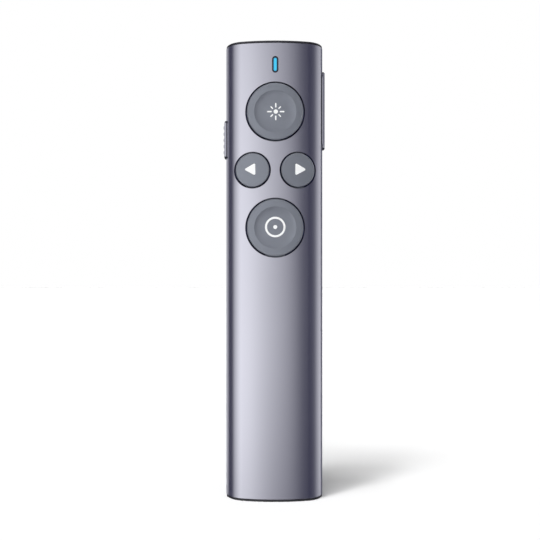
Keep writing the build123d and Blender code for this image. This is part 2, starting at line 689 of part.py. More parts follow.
with BuildPart() as power_cover:
    with BuildSketch(knob_profile):
        with BuildLine():
            outline = [(bed, -cover_half), (root, -cover_half)]
            for tooth in range(TOOTH_COUNT):
                crest = (tooth - (TOOTH_COUNT - 1) / 2) * TOOTH_PITCH
                outline += [
                    (root, crest - TOOTH_PITCH / 3),
                    (root + TOOTH, crest - TOOTH_PITCH / 8),
                    (root + TOOTH, crest + TOOTH_PITCH / 8),
                    (root, crest + TOOTH_PITCH / 3),
                ]
            outline += [(root, cover_half), (bed, cover_half)]
            Polyline(*outline, close=True)
        make_face()
    turn_and_trim()
finish(power_cover, "power_cover")

with BuildPart() as power_knob:
    with BuildSketch(knob_profile):
        with BuildLine():
            Polyline(
                (foot, -half),
                (root - END_SLOPE[1], -half),
                (root, -cover_half),
                (root, cover_half),
                (root - END_SLOPE[1], half),
                (foot, half),
                close=True,
            )
        make_face()
    turn_and_trim()
    with BuildSketch(SIDE.offset(-STEM_INNER_X)):
        with Locations((0, KNOB_Z)):
            SlotOverall(*KNOB_STEM, rotation=90)
    extrude(amount=STEM_INNER_X - SIDE_X - bed)
    with BuildSketch(SIDE.offset(-STEM_INNER_X)):
        with Locations((LEVER_Y, KNOB_Z)):
            Rectangle(LEVER[1], LEVER[0])
    extrude(amount=STEM_INNER_X - LEVER_X[1], mode=Mode.SUBTRACT)
    add(power_cover.part, mode=Mode.SUBTRACT)
finish(power_knob, "power_knob")

with BuildPart() as power_clip:
    with BuildSketch(Plane.XY.offset(KNOB_Z - CLIP_LENGTH / 2)):
        add(side_sector(-1, *CLIP_R, CLIP_HALF))
    extrude(amount=CLIP_LENGTH)
    with BuildSketch(SIDE):
        with Locations((0, KNOB_Z)):
            SlotOverall(*KNOB_STEM, rotation=90)
    extrude(amount=-WIDTH, mode=Mode.SUBTRACT)
finish(power_clip, "power_clip")

with BuildPart() as power_lever:
    with BuildSketch(SIDE.offset(-LEVER_X[1])):
        with Locations((LEVER_Y, KNOB_Z)):
            Rectangle(LEVER[1], LEVER[0])
    extrude(amount=LEVER_X[1] - LEVER_X[0])
finish(power_lever, "power_lever")

with BuildPart() as power_switch:
    with BuildSketch(FRONT.offset(BOARD_BACK)):
        with Locations((-POWER_SWITCH_X, KNOB_Z - KNOB_TRAVEL / 2)):
            Rectangle(POWER_SWITCH[0], POWER_SWITCH[2], align=(Align.MIN, Align.CENTER))
    extrude(amount=-POWER_SWITCH[1])
    with BuildSketch(SIDE.offset(-POWER_SWITCH_X)):
        with Locations((LEVER_Y, KNOB_Z - KNOB_TRAVEL / 2)):
            Rectangle(LEVER[1] + 2 * RUN, LEVER[0] + KNOB_TRAVEL + 2 * RUN)
    extrude(amount=GROOVE_DEPTH, mode=Mode.SUBTRACT)
finish(power_switch, "power_switch")

# ---- volume rocker: a long bar on a cross pin, with a switch facing each of its two ends ----
BAR_PROUD = 0.75
BAR_BREAK = 0.35
BAR_END = 0.6  # the bar's two ends are left bare for this length
BAR_COVER_R = SIDE_R + 0.2  # outside this radius the bar is its cover
BAR_INNER_X = 12.4
HUB_HALF = 1.1
HUB_R = 1.25
NUB_Z = 9.5
NUB_R = 0.8
NUB_X = 11.75
NUB_Y = -0.8
VOLUME_SWITCH = (2.7, 2.4, 4.4)
VOLUME_SWITCH_X = 11.0
VOLUME_PLUNGER = (0.7, 0.45)

with BuildPart() as bar:
    with BuildSketch(SIDE.offset(BAR_INNER_X)):
        with Locations((0, ROCKER_Z)):
            SlotOverall(ROCKER_LENGTH, ROCKER_WIDTH, rotation=90)
    extrude(amount=SIDE_X + SIDE_R + BAR_PROUD - BAR_INNER_X)
    with Locations((SIDE_X, 0, ROCKER_Z)):
        Cylinder(SIDE_R + BAR_PROUD, 2 * ROCKER_LENGTH, mode=Mode.INTERSECT)
    chamfer(bar.faces().sort_by(Axis.X)[-1].edges(), length=BAR_BREAK)

cover_low = ROCKER_Z - ROCKER_LENGTH / 2 + BAR_END
cover_length = ROCKER_LENGTH - 2 * BAR_END
cover_sector = side_sector(1, BAR_COVER_R, WIDTH / 2, ROCKER_WIDTH)

with BuildPart() as rocker_cover:
    add(bar.part)
    with BuildSketch(Plane.XY.offset(cover_low)):
        add(cover_sector)
    extrude(amount=cover_length, mode=Mode.INTERSECT)
finish(rocker_cover, "rocker_cover")

with BuildPart() as volume_rocker:
    add(bar.part)
    with BuildSketch(Plane.XY.offset(cover_low)):
        add(cover_sector)
    extrude(amount=cover_length, mode=Mode.SUBTRACT)
    with BuildSketch(FRONT.offset(HUB_HALF)):
        with Locations((PIN_X, ROCKER_Z)):
            Circle(HUB_R)
            Rectangle(BAR_INNER_X - PIN_X, 2 * HUB_R, align=(Align.MIN, Align.CENTER))
    extrude(amount=-2 * HUB_HALF)
    with BuildSketch(SIDE.offset(BAR_INNER_X)):
        with Locations((NUB_Y, ROCKER_Z - NUB_Z), (NUB_Y, ROCKER_Z + NUB_Z)):
            Circle(NUB_R)
    extrude(amount=NUB_X - BAR_INNER_X)
    with BuildSketch(FRONT.offset(HUB_HALF)):
        with Locations((PIN_X, ROCKER_Z)):
            Circle(PIN_R + SEAT)
    extrude(amount=-2 * HUB_HALF, mode=Mode.SUBTRACT)
finish(volume_rocker, "volume_rocker")

with BuildPart() as rocker_pin:
    with BuildSketch(FRONT.offset(EAR[1])):
        with Locations((PIN_X, ROCKER_Z)):
            Circle(PIN_R)
    extrude(amount=-2 * EAR[1])
finish(rocker_pin, "rocker_pin")

for name, end in (("volume_up_switch", 1), ("volume_down_switch", -1)):
    with BuildPart() as side_switch:
        with BuildSketch(FRONT.offset(BOARD_BACK)):
            with Locations((VOLUME_SWITCH_X, ROCKER_Z + end * NUB_Z)):
                Rectangle(VOLUME_SWITCH[0], VOLUME_SWITCH[2], align=(Align.MAX, Align.CENTER))
        extrude(amount=-VOLUME_SWITCH[1])
        with BuildSketch(SIDE.offset(VOLUME_SWITCH_X)):
            with Locations((NUB_Y, ROCKER_Z + end * NUB_Z)):
                Circle(VOLUME_PLUNGER[0])
        extrude(amount=VOLUME_PLUNGER[1])
    finish(side_switch, name)

# ---- chips on the board: name, centre x, centre z, width, height, thickness, on the front ----
CHIPS = [
    ("control_chip", 0.0, 50.0, 6.0, 6.0, 0.9, True),
    ("radio_crystal", 6.4, 50.0, 3.2, 2.5, 0.8, True),
    ("motion_sensor", 0.0, 38.0, 3.0, 3.0, 0.9, True),
    ("charge_chip", -4.0, 16.0, 3.0, 3.0, 0.9, True),
    ("chip_antenna", -9.6, 132.8, 4.0, 1.6, 1.0, False),
]

for name, x, z, width, height, thickness, in_front in CHIPS:
    face = BOARD_FRONT if in_front else BOARD_BACK
    with BuildPart() as chip:
        with BuildSketch(FRONT.offset(face)):
            with Locations((x, z)):
                Rectangle(width, height)
        extrude(amount=thickness if in_front else -thickness)
    finish(chip, name)

# ---- receiver: a short handle with a USB-A plug, kept in the tail by a magnet ----
SHELL_WALL = 0.3
SHELL_R = 0.5
PLUG_LOW = HANDLE_BOTTOM + HANDLE[2]
LATCH = (2.2, 2.6)
LATCH_X = 2.9
LATCH_RISE = 5.1
PLUG_TONGUE = (11.2, 1.9)
TONGUE_SHORT = 0.4
CONTACT = (1.1, 0.12, 8.6)
CONTACT_X = (-3.5, -1.15, 1.15, 3.5)
NAIL_SLOT = (9.0, 1.0)
NAIL_DEPTH = 0.6
MAGNET = (10.0, 4.0, 1.5)

with BuildPart() as receiver_housing:
    with BuildSketch(Plane.XY.offset(HANDLE_BOTTOM)):
        with Locations((0, BAY_Y)):
            RectangleRounded(HANDLE[0], HANDLE[1], HANDLE_R)
    extrude(amount=HANDLE[2])
    chamfer(receiver_housing.edges().group_by(Axis.Z)[0], length=HANDLE_BREAK)
    with BuildSketch(Plane.XY.offset(HANDLE_BOTTOM)):
        with Locations((0, BAY_Y)):
            SlotOverall(*NAIL_SLOT)
    extrude(amount=NAIL_DEPTH, mode=Mode.SUBTRACT)
finish(receiver_housing, "receiver_housing")

with BuildPart() as receiver_plug_shell:
    with BuildSketch(Plane.XY.offset(PLUG_LOW)):
        with Locations((0, BAY_Y)):
            RectangleRounded(PLUG_SHELL[0], PLUG_SHELL[1], SHELL_R)
            RectangleRounded(
                PLUG_SHELL[0] - 2 * SHELL_WALL,
                PLUG_SHELL[1] - 2 * SHELL_WALL,
                SHELL_R - SHELL_WALL,
                mode=Mode.SUBTRACT,
            )
    extrude(amount=PLUG_SHELL[2])
    with BuildSketch(FRONT.offset(-BAY_Y)):
        with Locations((-LATCH_X, PLUG_LOW + LATCH_RISE), (LATCH_X, PLUG_LOW + LATCH_RISE)):
            Rectangle(*LATCH)
    extrude(amount=PLUG_SHELL[1], both=True, mode=Mode.SUBTRACT)
finish(receiver_plug_shell, "receiver_plug_shell")

tongue_y = BAY_Y + PLUG_SHELL[1] / 2 - SHELL_WALL - SEAT
with BuildPart() as receiver_plug_tongue:
    with BuildSketch(Plane.XY.offset(PLUG_LOW)):
        with Locations((0, tongue_y)):
            Rectangle(*PLUG_TONGUE, align=(Align.CENTER, Align.MAX))
    extrude(amount=PLUG_SHELL[2] - TONGUE_SHORT)
finish(receiver_plug_tongue, "receiver_plug_tongue")

with BuildPart() as receiver_contacts:
    with BuildSketch(Plane.XY.offset(PLUG_LOW + PLUG_SHELL[2] - TONGUE_SHORT - CONTACT[2])):
        with Locations(*[(x, tongue_y - PLUG_TONGUE[1]) for x in CONTACT_X]):
            Rectangle(CONTACT[0], CONTACT[1], align=(Align.CENTER, Align.MAX))
    extrude(amount=CONTACT[2] - TONGUE_SHORT)
finish(receiver_contacts, "receiver_contacts")

with BuildPart() as bay_magnet:
    with BuildSketch(Plane.XY.offset(BAY_TOP)):
        with Locations((0, BAY_Y)):
            Rectangle(MAGNET[0], MAGNET[1])
    extrude(amount=MAGNET[2])
finish(bay_magnet, "bay_magnet")
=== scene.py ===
from math import atan2, cos, pi, radians, sin, sqrt

import bpy
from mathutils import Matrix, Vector


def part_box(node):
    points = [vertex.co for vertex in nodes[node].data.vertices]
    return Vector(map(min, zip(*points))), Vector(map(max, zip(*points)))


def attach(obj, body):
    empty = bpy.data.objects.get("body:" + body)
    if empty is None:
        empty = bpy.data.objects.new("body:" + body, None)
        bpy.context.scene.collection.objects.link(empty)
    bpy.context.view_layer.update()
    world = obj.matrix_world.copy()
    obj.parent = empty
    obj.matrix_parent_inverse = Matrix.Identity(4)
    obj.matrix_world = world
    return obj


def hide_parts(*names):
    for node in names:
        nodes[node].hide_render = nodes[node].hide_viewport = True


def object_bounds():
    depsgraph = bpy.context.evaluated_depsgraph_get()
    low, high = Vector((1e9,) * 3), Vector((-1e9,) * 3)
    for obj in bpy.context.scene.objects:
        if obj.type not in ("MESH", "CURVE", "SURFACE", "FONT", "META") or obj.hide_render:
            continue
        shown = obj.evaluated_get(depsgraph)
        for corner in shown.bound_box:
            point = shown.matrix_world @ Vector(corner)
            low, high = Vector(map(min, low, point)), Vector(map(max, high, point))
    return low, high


# A wireless presentation clicker, in metres. It stands on its tail at the origin: +Z runs up to
# the laser end and the buttons face -Y.

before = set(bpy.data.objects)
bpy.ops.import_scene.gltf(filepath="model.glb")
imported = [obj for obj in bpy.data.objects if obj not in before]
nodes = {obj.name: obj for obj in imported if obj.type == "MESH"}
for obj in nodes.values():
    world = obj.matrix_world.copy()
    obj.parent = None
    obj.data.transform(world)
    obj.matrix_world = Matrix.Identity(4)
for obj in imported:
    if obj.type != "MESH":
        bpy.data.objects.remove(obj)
cad_box = [list(corner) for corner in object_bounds()]
mm = 0.001


# ---- Body sleeve ----
# One length of extruded aluminium tube with an oval section of four arcs. Its ends are chamfered,
# the openings for the controls are milled through its wall, and it is bead blasted and anodised
# a violet grey.

BUTTONS = ("laser", "previous", "next", "spotlight")
SIDE_RADIUS = 6.5 * mm
SLEEVE_WALL = 1.2 * mm
SLEEVE_CHAMFER = 0.3 * mm
SIDE_STEPS = 49  # points along each side arc
FACE_STEPS = 57  # points along each wide face arc
BUTTON_GAP = 0.5 * mm
PILL_SLOT = (5.06 * mm, 1.94 * mm)  # length and width
KNOB_SLOT = (7.8 * mm, 2.9 * mm)  # length and width
KNOB_TRAVEL = 2.0 * mm
ROCKER_GAP = 0.25 * mm
CUTTER_DEPTH = 9.0 * mm
CUTTER_STEPS = 128  # points round each end of a cutter
WELD = 0.001 * mm  # points closer than this become one
CREASE = radians(25)  # edges that turn more than this stay sharp
END_LEAN = 0.1  # faces that lean more than this towards an end are its cut or its chamfer
WALL_MATCH = 0.99  # faces that point this nearly straight out are the outer wall
ANODISED = (0.5, 0.5, 0.565)
BLAST_GRAIN = 0.09 * mm
DRIFT = 0.03  # the share by which a finish's colour and roughness wander
CLOUD_SCALE = 45.0  # how close the soft patches lie in which they wander

sleeve_low, sleeve_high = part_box("body_sleeve")
half_width = sleeve_high.x
half_depth = sleeve_high.y
side_centre = half_width - SIDE_RADIUS
face_radius = (side_centre**2 + half_depth**2 - SIDE_RADIUS**2) / (2 * (half_depth - SIDE_RADIUS))
face_centre = face_radius - half_depth
side_angle = atan2(face_centre, side_centre)


def middle(node):
    """The centre of a CAD node's box."""
    low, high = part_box(node)
    return (low + high) / 2


def span(node):
    """The sizes of a CAD node's box."""
    low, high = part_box(node)
    return high - low


def linked(name, data):
    """A new object that shows the given data in the scene."""
    made = bpy.data.objects.new(name, data)
    bpy.context.scene.collection.objects.link(made)
    return made


def add(tree, kind, wires=None, **settings):
    """A new node in a tree: settings are its options, wires its inputs by value or by socket."""
    made = tree.nodes.new(kind)
    for option, value in settings.items():
        setattr(made, option, value)
    for socket, value in (wires or {}).items():
        if isinstance(value, bpy.types.NodeSocket):
            tree.links.new(value, made.inputs[socket])
        else:
            made.inputs[socket].default_value = value
    return made


def sum_of(tree, first, second, operation="ADD"):
    """Two numbers joined by a maths operation inside a tree."""
    return add(tree, "ShaderNodeMath", {0: first, 1: second}, operation=operation).outputs[0]


def moved(tree, geometry, place, turn=(0, 0, 0)):
    """Geometry turned and then moved to a place inside a tree."""
    wires = {"Geometry": geometry, "Translation": place, "Rotation": turn}
    return add(tree, "GeometryNodeTransform", wires).outputs[0]


def joined(tree, *parts):
    """Several geometries as one inside a tree."""
    join = add(tree, "GeometryNodeJoinGeometry")
    for part in parts:
        tree.links.new(part, join.inputs[0])
    return join.outputs[0]


def open_tree(name, sizes):
    """A Geometry Nodes tree with one named input for each size, and the sockets that give them."""
    tree = bpy.data.node_groups.new(name, "GeometryNodeTree")
    for label, value in sizes.items():
        kind = "NodeSocketFloat" if isinstance(value, float) else "NodeSocketVector"
        tree.interface.new_socket(label, in_out="INPUT", socket_type=kind)
    tree.interface.new_socket("Geometry", in_out="OUTPUT", socket_type="NodeSocketGeometry")
    return tree, tree.nodes.new("NodeGroupInput").outputs


def close_tree(tree, geometry, material):
    """End a tree: what it makes is made real and gets its material."""
    real = add(tree, "GeometryNodeRealizeInstances", {"Geometry": geometry}).outputs[0]
    dressed = add(tree, "GeometryNodeSetMaterial", {"Geometry": real, "Material": material})
    tree.links.new(dressed.outputs[0], tree.nodes.new("NodeGroupOutput").inputs[0])


def grow(tree, name, sizes):
    """Run a tree on the given sizes and keep the result as a plain mesh object."""
    maker = linked(name, bpy.data.meshes.new(name))
    growth = maker.modifiers.new("growth", "NODES")
    growth.node_group = tree
    for socket in tree.interface.items_tree:
        if socket.in_out == "INPUT":
            growth[socket.identifier] = sizes[socket.name]
    seen = maker.evaluated_get(bpy.context.evaluated_depsgraph_get())
    mesh = bpy.data.meshes.new_from_object(seen)
    maker.modifiers.remove(growth)
    bpy.data.objects.remove(maker)
    return linked(name, mesh)


def grained(name, colour, roughness, grain, depth, metallic=0.0):
    """A finish with a fine surface grain, in cells of that size and depth, whose colour and
    roughness wander a little over a few centimetres."""
    material = bpy.data.materials.new(name)
    material.use_nodes = True
    tree = material.node_tree
    shader = tree.nodes["Principled BSDF"]
    shader.inputs["Metallic"].default_value = metallic
    place = add(tree, "ShaderNodeTexCoord").outputs["Object"]
    cells = add(tree, "ShaderNodeTexNoise", {"Vector": place, "Scale": 1 / grain, "Detail": 3.0})
    bump = add(tree, "ShaderNodeBump", {"Height": cells.outputs[0], "Distance": depth})
    tree.links.new(bump.outputs[0], shader.inputs["Normal"])
    wires = {"Vector": place, "Scale": CLOUD_SCALE, "Detail": 2.0}
    clouds = add(tree, "ShaderNodeTexNoise", wires).outputs[0]
    darker, lighter = ((*[part * share for part in colour], 1) for share in (1 - DRIFT, 1 + DRIFT))
    shade = add(tree, "ShaderNodeMix", {0: clouds, 6: darker, 7: lighter}, data_type="RGBA")
    tree.links.new(shade.outputs[2], shader.inputs["Base Color"])
    wires = {"Value": clouds, 3: roughness * (1 - DRIFT), 4: roughness * (1 + DRIFT)}
    polish = add(tree, "ShaderNodeMapRange", wires)
    tree.links.new(polish.outputs[0], shader.inputs["Roughness"])
    return material


anodised = grained(
    "anodised_aluminium",
    ANODISED,
    roughness=0.3,
    grain=BLAST_GRAIN,
    depth=0.002 * mm,
    metallic=1.0,
)

# Each opening is a pill in the plane of its face: its place, length and width, and its turn.
openings = {}
for button in BUTTONS:
    centre = middle(f"{button}_button")
    across = span(f"{button}_button").x + 2 * BUTTON_GAP
    openings[button] = (Vector((centre.x, -half_depth, centre.z)), across, across, 0.0)
pill_place = Vector((0, -half_depth, middle("indicator_bezel").z))
openings["indicator"] = (pill_place, *PILL_SLOT, 0.0)
knob_middle = middle("power_knob").z - KNOB_TRAVEL / 2
openings["power slide"] = (Vector((-half_width, 0, knob_middle)), *KNOB_SLOT, pi / 2)
bar = span("volume_rocker")
openings["rocker"] = (
    Vector((half_width, 0, middle("volume_rocker").z)),
    bar.z + 2 * ROCKER_GAP,
    bar.y + 2 * ROCKER_GAP,
    pi / 2,
)

sleeve_sizes = {
    "Side Centre": side_centre,
    "Side Radius": SIDE_RADIUS,
    "Side Angle": side_angle,
    "Face Centre": face_centre,
    "Face Radius": face_radius,
    "Wall": SLEEVE_WALL,
    "Chamfer": SLEEVE_CHAMFER,
    "Bottom": sleeve_low.z,
    "Length": sleeve_high.z - sleeve_low.z,
}
for name, (place, length, width, turn) in openings.items():
    sleeve_sizes[f"{name} place"] = tuple(place)
    sleeve_sizes[f"{name} length"] = length
    sleeve_sizes[f"{name} width"] = width

tree, given = open_tree("oval_sleeve", sleeve_sizes)
half_wall = sum_of(tree, given["Wall"], 0.5, "MULTIPLY")


def wall_arc(radius, start, sweep, place, steps):
    """One arc of the wall's middle line, moved to its own centre."""
    mid = sum_of(tree, radius, half_wall, "SUBTRACT")
    wires = {"Resolution": steps, "Radius": mid, "Start Angle": start, "Sweep Angle": sweep}
    arc = add(tree, "GeometryNodeCurveArc", wires, mode="RADIUS").outputs[0]
    return moved(tree, arc, place)


side_start = sum_of(tree, given["Side Angle"], -1.0, "MULTIPLY")
side_sweep = sum_of(tree, given["Side Angle"], 2.0, "MULTIPLY")
face_sweep = sum_of(tree, pi, side_sweep, "SUBTRACT")
side_place = add(tree, "ShaderNodeCombineXYZ", {0: given["Side Centre"]}).outputs[0]
back = sum_of(tree, given["Face Centre"], -1.0, "MULTIPLY")
face_place = add(tree, "ShaderNodeCombineXYZ", {1: back}).outputs[0]
half_line = joined(
    tree,
    wall_arc(given["Side Radius"], side_start, side_sweep, side_place, SIDE_STEPS),
    wall_arc(given["Face Radius"], given["Side Angle"], face_sweep, face_place, FACE_STEPS),
)
four_arcs = joined(tree, half_line, moved(tree, half_line, (0, 0, 0), (0, 0, pi)))
edges = add(tree, "GeometryNodeCurveToMesh", {"Curve": four_arcs}).outputs[0]
wires = {"Geometry": edges, "Distance": WELD}
loop = add(tree, "GeometryNodeMergeByDistance", wires).outputs[0]
whole_line = add(tree, "GeometryNodeMeshToCurve", {"Mesh": loop}).outputs[0]
wires = {"Width": given["Wall"], "Height": given["Length"]}
wall_section = add(tree, "GeometryNodeCurvePrimitiveQuadrilateral", wires).outputs[0]
wires = {"Curve": wall_section, "Count": 1, "Radius": given["Chamfer"]}
cut_corners = add(tree, "GeometryNodeFilletCurve", wires, mode="POLY").outputs[0]
wires = {"Curve": whole_line, "Profile Curve": cut_corners}
swept = add(tree, "GeometryNodeCurveToMesh", wires).outputs[0]
half_length = sum_of(tree, given["Length"], 0.5, "MULTIPLY")
lift = add(tree, "ShaderNodeCombineXYZ", {2: sum_of(tree, given["Bottom"], half_length)})
tube = moved(tree, swept, lift.outputs[0])


def cutter(name, turn):
    """The pill-shaped block that mills one opening: the hull of a cylinder at each of its ends."""
    radius = sum_of(tree, given[f"{name} width"], 0.5, "MULTIPLY")
    wires = {"Vertices": CUTTER_STEPS, "Radius": radius, "Depth": CUTTER_DEPTH}
    drum = add(tree, "GeometryNodeMeshCylinder", wires).outputs[0]
    reach = sum_of(tree, given[f"{name} length"], given[f"{name} width"], "SUBTRACT")
    ends = []
    for way in (0.5, -0.5):
        end = add(tree, "ShaderNodeCombineXYZ", {2: sum_of(tree, reach, way, "MULTIPLY")})
        ends.append(moved(tree, drum, end.outputs[0], (pi / 2, 0, 0)))
    block = add(tree, "GeometryNodeConvexHull", {"Geometry": joined(tree, *ends)}).outputs[0]
    return moved(tree, block, given[f"{name} place"], (0, 0, turn))


milled = add(tree, "GeometryNodeMeshBoolean", {"Mesh 1": tube}, operation="DIFFERENCE")
milled.solver = "EXACT"
for name, (*_, turn) in openings.items():
    tree.links.new(cutter(name, turn), milled.inputs["Mesh 2"])
close_tree(tree, milled.outputs[0], anodised)
sleeve = grow(tree, "sleeve", sleeve_sizes)


def outward(point):
    """The direction straight out of the oval at a point of its surface."""
    side = 1 if point.x > 0 else -1
    front = 1 if point.y > 0 else -1
    lean = atan2(abs(point.y), abs(point.x) - side_centre)
    if lean < side_angle:
        return Vector((point.x - side * side_centre, point.y, 0)).normalized()
    return Vector((point.x, point.y + front * face_centre, 0)).normalized()


# The outer wall takes its normals from the arcs themselves, so that the openings leave no ripple.
mesh = sleeve.data
mesh.shade_smooth()
mesh.set_sharp_from_angle(angle=CREASE)
normals = [Vector((0, 0, 0))] * len(mesh.loops)
for face in mesh.polygons:
    if abs(face.normal.z) > END_LEAN or face.normal.dot(outward(face.center)) < WALL_MATCH:
        continue
    for corner in face.loop_indices:
        normals[corner] = outward(mesh.vertices[mesh.loops[corner].vertex_index].co)
mesh.normals_split_custom_set(normals)
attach(sleeve, "housing")
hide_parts("body_sleeve")


# ---- End caps ----
# Two moulded caps of dark nylon plug the tube. Only a half millimetre of each stands out, with
# its own small chamfer, and the laser's tinted window is glued flush into the upper one.

CAP_COLOUR = (0.03, 0.03, 0.036)
WINDOW_COLOUR = (0.16, 0.01, 0.015)
ACRYLIC_BEND = 1.49  # how strongly the clear mouldings refract


def dress(material, *names):
    """Give CAD nodes a finish in place of their plain one."""
    for name in names:
        for slot in nodes[name].material_slots:
            slot.material = material


cap_nylon = grained("end_cap_nylon", CAP_COLOUR, roughness=0.42, grain=0.2 * mm, depth=0.004 * mm)
dress(cap_nylon, "head_cap", "tail_cap")


def clear(name, colour, roughness):
    """A see-through moulding with faint moulding waves."""
    material = grained(name, colour, roughness, grain=2.0 * mm, depth=0.002 * mm)
    shader = material.node_tree.nodes["Principled BSDF"]
    shader.inputs["Transmission Weight"].default_value = 1.0
    shader.inputs["IOR"].default_value = ACRYLIC_BEND
    return material


dress(clear("tinted_window", WINDOW_COLOUR, roughness=0.04), "laser_window")


# ---- Tray, board and button frame ----
# Inside, a black moulded tray lines the back of the tube. The board is screwed to it and the
# button frame, with a collar round each button, lies over the board.

TRAY_BLACK = (0.03, 0.03, 0.034)
FRAME_BLUE_BLACK = (0.04, 0.048, 0.15)
MASK_GREEN = (0.012, 0.11, 0.045)
TRACK_GREEN = (0.03, 0.2, 0.08)
TRACK_PITCH = 0.5 * mm
TRACK_LEVEL = 0.72  # the wave that draws the tracks is higher than this on a track
WAVE_PERIOD = 0.32  # about how long one wave of the wave texture is at a scale of 1
PACKAGE_BLACK = (0.018, 0.018, 0.02)
CERAMIC = (0.8, 0.78, 0.72)
STEEL = (0.55, 0.55, 0.56)

tray_moulding = grained(
    "tray_moulding", TRAY_BLACK, roughness=0.5, grain=0.25 * mm, depth=0.006 * mm
)
dress(tray_moulding, "chassis")
frame_moulding = grained(
    "frame_moulding", FRAME_BLUE_BLACK, roughness=0.55, grain=0.25 * mm, depth=0.006 * mm
)
dress(frame_moulding, "key_frame")

solder_mask = grained("solder_mask", MASK_GREEN, roughness=0.32, grain=0.15 * mm, depth=0.002 * mm)
tree = solder_mask.node_tree
wires = {
    "Vector": add(tree, "ShaderNodeTexCoord").outputs["Object"],
    "Scale": WAVE_PERIOD / TRACK_PITCH,
    "Distortion": 3.0,
    "Detail": 0.0,
    "Detail Scale": 0.4,
}
lines = add(tree, "ShaderNodeTexWave", wires, bands_direction="X")
on_track = sum_of(tree, lines.outputs[1], TRACK_LEVEL, "GREATER_THAN")
wires = {0: on_track, 6: (*MASK_GREEN, 1), 7: (*TRACK_GREEN, 1)}
tracks = add(tree, "ShaderNodeMix", wires, data_type="RGBA")
tree.links.new(tracks.outputs[2], tree.nodes["Principled BSDF"].inputs["Base Color"])
dress(solder_mask, "main_board")

package = grained("chip_package", PACKAGE_BLACK, roughness=0.6, grain=0.08 * mm, depth=0.004 * mm)
dress(package, "control_chip", "motion_sensor", "charge_chip")
ceramic = grained("fired_ceramic", CERAMIC, roughness=0.35, grain=0.1 * mm, depth=0.002 * mm)
dress(ceramic, "chip_antenna", "indicator_lamp")


def brushed(name, colour, roughness, stretch):
    """Bright metal with fine drawing lines: stretch is how far they are drawn out on each axis."""
    material = grained(name, colour, roughness, grain=0.1 * mm, depth=0.003 * mm, metallic=1.0)
    tree = material.node_tree
    cells = next(node for node in tree.nodes if node.type == "TEX_NOISE")
    place = add(tree, "ShaderNodeTexCoord").outputs["Object"]
    drawn = add(tree, "ShaderNodeMapping", {"Vector": place, "Scale": stretch})
    tree.links.new(drawn.outputs[0], cells.inputs["Vector"])
    return material


pressed_steel = brushed("pressed_steel", STEEL, roughness=0.3, stretch=(1, 1, 0.05))
dress(pressed_steel, "board_screws", "frame_screws", "radio_crystal", "rocker_pin", "power_switch")
dress(pressed_steel, *[f"{button}_switch" for button in BUTTONS])
dress(pressed_steel, "volume_up_switch", "volume_down_switch", "laser_diode")


# ---- Push buttons ----
# Four round caps moulded in blue-black plastic, their fronts sprayed with a satin grey paint. They
# follow the body's crown and the two large ones have a shallow round dish for the thumb.

BUTTON_GREY = (0.23, 0.245, 0.279)
BUTTON_METALLIC = 0.42
FLANK_BLUE_BLACK = (0.026, 0.032, 0.1, 1)
PAINT_REACH = 0.3  # the paint reaches faces that lean at least this much to the front
NYLON_BLACK = (0.024, 0.025, 0.036)
NYLON_SHEEN = 0.12
COOL_SHEEN = (0.7, 0.75, 1.0, 1)  # the dark mouldings take a bluish gloss

satin_paint = grained(
    "satin_button_paint", BUTTON_GREY, roughness=0.45, grain=0.12 * mm, depth=0.003 * mm
)
tree = satin_paint.node_tree
shader = tree.nodes["Principled BSDF"]
true_normal = add(tree, "ShaderNodeNewGeometry").outputs["True Normal"]
facing = add(tree, "ShaderNodeVectorMath", {0: true_normal, 1: (0, -1, 0)}, operation="DOT_PRODUCT")
sprayed = sum_of(tree, facing.outputs[1], PAINT_REACH, "GREATER_THAN")
paint = shader.inputs["Base Color"].links[0].from_socket
coat = add(tree, "ShaderNodeMix", {0: sprayed, 6: FLANK_BLUE_BLACK, 7: paint}, data_type="RGBA")
tree.links.new(coat.outputs[2], shader.inputs["Base Color"])
flakes = sum_of(tree, sprayed, BUTTON_METALLIC, "MULTIPLY")
tree.links.new(flakes, shader.inputs["Metallic"])
shader.inputs["Specular Tint"].default_value = COOL_SHEEN

nylon = grained("plunger_nylon", NYLON_BLACK, roughness=0.55, grain=0.2 * mm, depth=0.003 * mm)
shader = nylon.node_tree.nodes["Principled BSDF"]
shader.inputs["Specular IOR Level"].default_value = NYLON_SHEEN
shader.inputs["Specular Tint"].default_value = COOL_SHEEN
for button in BUTTONS:
    dress(satin_paint, f"{button}_button")
    dress(nylon, f"{button}_plunger")


# ---- Printed marks ----
# White marks pad-printed on the caps: a burst of rays for the laser, an arrow on each page button
# and a ring with a dot for the spotlight. The ink is laid on each cap's own curve.

INK = 0.03 * mm
INK_SUNK = 0.01 * mm  # the ink's underside lies this far below the cap's true surface
INK_WHITE = (0.97, 0.975, 0.98)
INK_WELD = 0.0001 * mm
INK_CREASE = radians(40)
INK_CUTS = 2  # how often each mark is halved before it is bent
DISH_RADIUS = 6.4 * mm
DISH_DEPTH = 0.6 * mm
DISH_POWER = 5.0  # the dish is nearly level in the middle and climbs steeply at its rim
CIRCLE_STEPS = 48
DOT = 0.66 * mm
LONG_RAYS = (1.22 * mm, 2.62 * mm, 0.43 * mm)  # inner end, outer end and width
SHORT_RAYS = (1.2 * mm, 2.2 * mm, 0.37 * mm)
RAY_CORNER = 0.35  # the rounding of a ray's corners, as a share of its width
ARROW = (3.42 * mm, 1.93 * mm, 0.33 * mm)  # length, half height and corner radius
ARROW_SHIFT = 0.29 * mm  # the arrows sit a little outwards of the cap's centre
RING = (3.11 * mm, 0.62 * mm)  # outer radius and stroke
RING_DOT = 0.6 * mm
MARK_RISE = 0.2 * mm  # the arrows and the ring sit a little above the cap's centre
BURST_SHIFT = 0.15 * mm

